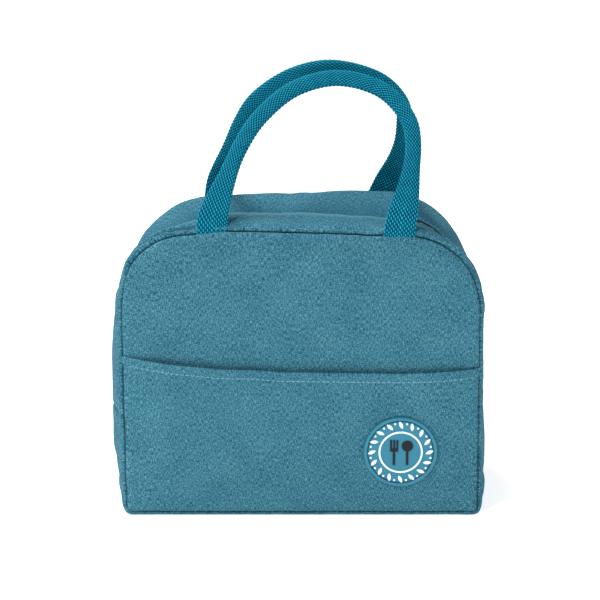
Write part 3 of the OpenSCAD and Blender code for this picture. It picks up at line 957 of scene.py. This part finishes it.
def pocket_cloth(x, z, inner):
    """Settled points of the pocket's outside, or of the turned-in hem behind it."""
    _, depth = skin_frame(np.stack([x, np.full(len(x), -half_d), z], 1))
    e = np.maximum(depth - seam_drop - seam_gap, 0)
    below = pocket_edge(x) - z
    lift = 1.15 * MM + 2.4 * MM * smooth(e, 0, 24 * MM)
    lift = lift + 0.9 * MM * smooth(e, 0, 8 * MM) * smooth(hem + 1 * MM - below, 0, 1.2 * MM)
    lift = lift - 0.35 * MM * np.exp(-((below - hem) / (0.7 * MM)) ** 2) * smooth(e, 0, 4 * MM)
    beat = np.sin(x / (7.3 * MM) + 2 * np.sin(x / (31 * MM)))
    lift = lift + 0.18 * MM * beat * np.exp(-np.abs(below - hem) / (4 * MM)) * smooth(e, 0, 6 * MM)
    lift = lift + pucker(x + z, np.maximum(e, 0))
    y = -(half_d + lift - rolled(e)) + inner
    p = place(np.stack([x, y, z], 1))
    r = np.hypot(x - patch_x, z - patch_z)
    flat = 1 - smooth(r, 24 * MM, 42 * MM)
    p[:, 1] = p[:, 1] * (1 - flat) + (patch_y + centre_y + 0.05 * MM) * flat
    return p


# The pocket's rows: close together down to the hem's stitches, then even, then spread to the bottom seam.
drops = np.array([0, 0.5, 1.2, 2.2, 3.6, 5, 5.9, 6.5, 7.1, 7.8, 9, 11, 13.5,
                  *np.arange(16.5, 84, 3)]) * MM
turned = np.array([0.7, 2, 4, 6.4]) * MM
pocket_columns = 96
bottom_rows = 12


def pocket_shape(i, j):
    """The pocket's cloth, with its columns drawn together at the sides."""
    share = i / (pocket_columns - 1) * 2 - 1
    share = np.sin(share * math.pi / 2 * 0.93) / math.sin(math.pi / 2 * 0.93)
    back = len(turned)
    inner_row = j < back
    top_row = pocket_edge(share * (half_w - seam_drop - seam_gap))
    lowest = seam_drop + seam_gap
    drop_in = turned[np.clip(back - 1 - j, 0, back - 1)]
    drop = np.where(inner_row, drop_in, drops[np.clip(j - back, 0, len(drops) - 1)])
    z = top_row - drop
    tail = j - back - len(drops)
    last = top_row - drops[-1]
    share_down = np.sin(np.clip((tail + 1) / bottom_rows, 0, 1) * math.pi / 2)
    z = np.where(tail >= 0, last * (1 - share_down) + lowest * share_down, z)
    r_in = bottom_r - lowest
    width = np.where(z < bottom_r, bottom_x + np.sqrt(np.clip(r_in ** 2 - (bottom_r - z) ** 2, 0, None)),
                     half_w - lowest)
    x = share * width
    inner = np.where(inner_row, 1.9 * MM, 0)
    p = pocket_cloth(x, z, inner)
    return p, np.stack([x, np.where(inner_row, 2 * top_row - z, z)], 1)


pocket_rows = len(turned) + len(drops) + bottom_rows
pocket = bent_grid("front_pocket_cloth", pocket_columns, pocket_rows, pocket_shape)
face_outwards(pocket, (centre_x, -3, 0.05))
thicken(pocket, 0.9 * MM, 1)
sew(pocket, body_cloth, "oxford_fabric", "front_pocket")
fold_with(pocket)

hem_x = np.arange(-half_w + 6 * MM, half_w - 6 * MM, 3.3 * MM)
sewn_a, sewn_b = (pocket_cloth(x, pocket_edge(x) - hem, 0) for x in (hem_x, hem_x + 1 * MM))
hem_places = [laid_at(a, b, (0, -1, 0)) for a, b in zip(sewn_a, sewn_b)]
hem_stitches = repeated("pocket_stitches", stitch, hem_places)
hem_stitches.data.materials.append(thread)
fold_with(hem_stitches)

# ---- Rubber patch ----
# A round moulded badge of soft matt rubber, sewn on the pocket: a teal disc with a raised rim, a white
# ring and leaf wreath, and a dark fork and spoon in the middle.


def rubber(s, colour, roughness, gloss):
    """Finishes a shader as soft rubber."""
    return s.finish(Base_Color=colour, Roughness=roughness, Specular_IOR_Level=gloss,
                    Normal=s.bump(s.fine_grain(), 0.05 * MM, 0.4))


patch_white = rubber(Shader("patch_white"), srgb(226, 240, 244), 0.48, 0.25)
patch_dark = rubber(Shader("patch_dark"), srgb(10, 18, 28), 0.48, 0.25)
recolour("patch_ring", patch_white)
recolour("patch_wreath", patch_white)
recolour("patch_cutlery", patch_dark)

disc_r = (patch_hi.x - patch_lo.x) / 2
disc_face = patch_lo.y + 0.5 * MM
# From the rim inwards and from the face inwards, in millimetres: the face, a groove, then the raised rim.
rim = [(4.2, 0), (3.3, 0.05), (2.9, 0.4), (2.5, 0.4), (2.2, -0.1), (1.8, -0.45), (1.1, -0.5), (0.5, -0.3),
       (0.1, 0.1), (0, 0.6)]
profile = [(0, disc_face), *((disc_r - r * MM, disc_face + y * MM) for r, y in rim), (disc_r, patch_hi.y),
           (0, patch_hi.y)]
bm = bmesh.new()
disc_x = patch_x + centre_x
ring = [bm.verts.new((disc_x + r, y, patch_z)) for r, y in profile]
spokes = [bm.edges.new(pair) for pair in zip(ring, ring[1:])]
bmesh.ops.spin(bm, geom=ring + spokes, cent=(disc_x, 0, patch_z), axis=(0, 1, 0), angle=2 * math.pi,
               steps=128, use_merge=True)
bmesh.ops.remove_doubles(bm, verts=bm.verts, dist=0.01 * MM)
bmesh.ops.recalc_face_normals(bm, faces=bm.faces)
disc_mesh = bpy.data.meshes.new("patch_badge")
bm.to_mesh(disc_mesh)
bm.free()
disc_mesh.shade_smooth()
disc = bpy.data.objects.new("patch_badge", disc_mesh)
scene.collection.objects.link(disc)
badge = Shader("patch_badge")
spot = badge.node("TexCoord", output=3)
spot = badge.node("VectorMath", {"operation": "SUBTRACT"}, [spot, (disc_x, 0, patch_z)])
spot = badge.node("VectorMath", {"operation": "MULTIPLY"}, [spot, (1, 0, 1)])
far = badge.node("VectorMath", {"operation": "LENGTH"}, [spot], output=1)
# Painted shade darkens the groove inside the rim, and a faint painted highlight lightens the raised rim.
painted_groove_shade = badge.spread(far, disc_r - 3.3 * MM, disc_r - 2.9 * MM)
painted_groove_shade = painted_groove_shade * badge.spread(far, disc_r - 2.1 * MM, disc_r - 2.4 * MM)
painted_rim_highlight = badge.spread(far, disc_r - 2.2 * MM, disc_r - 1.9 * MM)
tone = badge.mix(painted_groove_shade, srgb(42, 122, 147), srgb(10, 62, 84))
tone = badge.mix(painted_rim_highlight, tone, srgb(42, 124, 148))
badge = rubber(badge, tone, 0.45, 0.3)
sew(disc, badge, "patch_rubber", "patch_disc")
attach(disc, "tub")

# ---- Webbing handles ----
# Each handle is one length of thick polypropylene webbing. It is flat where it is caught in the seam,
# and folded lengthwise and sewn shut above that, so its fold makes a crisp outer edge.

webbing = Shader("webbing")
# The webbing's colour follows its ribs' height: painted shade in the gaps between ribs and a painted
# highlight on their tops, with random mottling.
painted_relief_light = webbing.node("Attribute", {"attribute_name": "painted_relief_light"}, output=2)
mottle = webbing.noise(webbing.woven(120, 120))
tone = webbing.mix(webbing.spread(painted_relief_light, 0.0, 0.55), srgb(0, 46, 70), srgb(0, 103, 131))
tone = webbing.mix(webbing.spread(painted_relief_light + mottle * 0.3, 0.65, 1.15), tone, srgb(30, 167, 193))
filaments = webbing.noise(webbing.woven(2600, 700))
webbing = webbing.finish(Base_Color=tone, Roughness=0.65, Specular_IOR_Level=0.06,
                         Normal=webbing.bump(filaments, 0.12 * MM, 0.5))

leans = {"front": math.radians(32.3), "back": math.radians(28.6)}
handle_foot_y = 63.2 * MM
handle_foot_z = 197 * MM
# Each handle's middle line, in millimetres along the bag and up from the seam.
routes = {
    "front": [[-58, -2.5], [-58, 0], [-57, 12], [-50, 34], [-39, 62], [-25.5, 83], [-4, 101.5], [24, 109],
              [52, 101], [69, 82], [73, 62], [70, 36], [65, 12], [63, 0], [62.5, -2.5]],
    "back": [[-60.5, -2.5], [-60, 0], [-58, 12], [-52, 34], [-43, 62], [-30, 85.5], [-6, 104.5],
             [21, 111], [51, 101.5], [68, 82], [71, 62], [69, 36], [62, 12], [57, 0], [56, -2.5]],
}
grain_columns = 30  # ribs of the weave round the webbing
grain_l = 2.9 * MM  # length of one rib
grain_relief = 0.5 * MM


def smooth_route(points, step):
    """Evenly spaced points of a Catmull-Rom line through the given ones."""
    p = np.array(points, float) * MM
    p = np.vstack([2 * p[0] - p[1], p, 2 * p[-1] - p[-2]])
    fine = []
    for k in range(1, len(p) - 2):
        t = np.linspace(0, 1, 60, endpoint=False)[:, None]
        a, b, c, d = p[k - 1:k + 3]
        fine.append(0.5 * (2 * b + (c - a) * t + (2 * a - 5 * b + 4 * c - d) * t ** 2
                           + (3 * b - a - 3 * c + d) * t ** 3))
    fine = np.vstack(fine + [p[-2:-1]])
    at = np.concatenate([[0], np.cumsum(np.linalg.norm(np.diff(fine, axis=0), axis=1))])
    even = np.linspace(0, at[-1], round(at[-1] / step))
    return np.stack([np.interp(even, at, fine[:, k]) for k in (0, 1)], 1), even


def make_handle(side_name, sign):
    """One handle, which leans away from its own side over the bag."""
    lean = leans[side_name]
    path, at = smooth_route(routes[side_name], 0.46 * MM)
    along = np.gradient(path, axis=0)
    along /= np.linalg.norm(along, axis=1)[:, None]
    outer = np.stack([-along[:, 1], along[:, 0]], 1)
    share = np.minimum(at, at[-1] - at) / at[-1]
    folded = smooth(share, 0.02, 0.2)
    around = 121

    def section(turn, f):
        """Across and through the webbing at an angle round it; f is 0 where flat and 1 where folded."""
        c, s = np.cos(turn), np.sin(turn)
        a = 9.8 * MM * (1 - f) + 5.05 * MM * f
        b = 1 * MM * (1 - f) + 3.3 * MM * f
        power = 0.5 * (1 - f) + 0.8 * f
        sewn_lip = 1.6 * MM * np.exp(-((turn - math.pi) / 0.2) ** 2) * f
        across = a * np.sign(c) * np.abs(c) ** power + sewn_lip
        return across, b * np.sign(s) * np.abs(s) ** power * (1 - 0.22 * c * f), c, s, a, b

    full = np.linspace(0, 2 * math.pi, 721)
    turns = np.zeros((len(at), around))
    for k, f in enumerate(folded):
        across, thick = section(full, f)[:2]
        length = np.concatenate([[0], np.cumsum(np.hypot(np.diff(across), np.diff(thick)))])
        turns[k] = np.interp(np.linspace(0, length[-1], around), length, full)

    def shape(i, j):
        turn = turns[i, j]
        across, thick, c, s, a, b = section(turn, folded[i])
        cell = j / (around - 1) * grain_columns
        column = np.floor(cell + 1e-9)
        cu = cell - column
        run = at[i] / grain_l + 0.5 * (column % 2) + 0.3 * (cu - 0.5)
        cv = run - np.floor(run)
        # Each rib's height raises the rib and also sets the painted shade between ribs and the painted
        # highlight on their tops.
        painted_relief_light = np.sqrt(np.clip(1 - (2 * cu - 1) ** 2 - ((2 * cv - 1) / 0.8) ** 2, 0, 1))
        relief = grain_relief * painted_relief_light
        length = np.maximum(np.hypot(c / a, s / b), 1e-9)
        across = across + relief * (c / a) / length
        thick = thick + relief * (s / b) / length
        u = path[i, 0] + outer[i, 0] * across
        w = path[i, 1] + outer[i, 1] * across
        low = 1 - smooth(w, 0, 18 * MM)
        y = handle_foot_y - np.maximum(w, 0) * math.sin(lean) + thick * math.cos(lean) - 3.4 * MM * low
        z = handle_foot_z + w * math.cos(lean) + thick * math.sin(lean) - 2.4 * MM * low
        points = np.stack([u + centre_x, sign * y + centre_y, z], 1)
        return points, np.stack([cell * 0.9 * MM, at[i]], 1), painted_relief_light

    handle = bent_grid(side_name + "_handle_webbing", len(at), around, shape, closed=True)
    bm = bmesh.new()
    bm.from_mesh(handle.data)
    bmesh.ops.holes_fill(bm, edges=[e for e in bm.edges if e.is_boundary])
    bmesh.ops.recalc_face_normals(bm, faces=bm.faces)
    bm.to_mesh(handle.data)
    bm.free()
    handle.data.shade_smooth()
    sew(handle, webbing, "webbing", side_name + "_handle")
    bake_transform(handle)


make_handle("front", -1)
make_handle("back", 1)
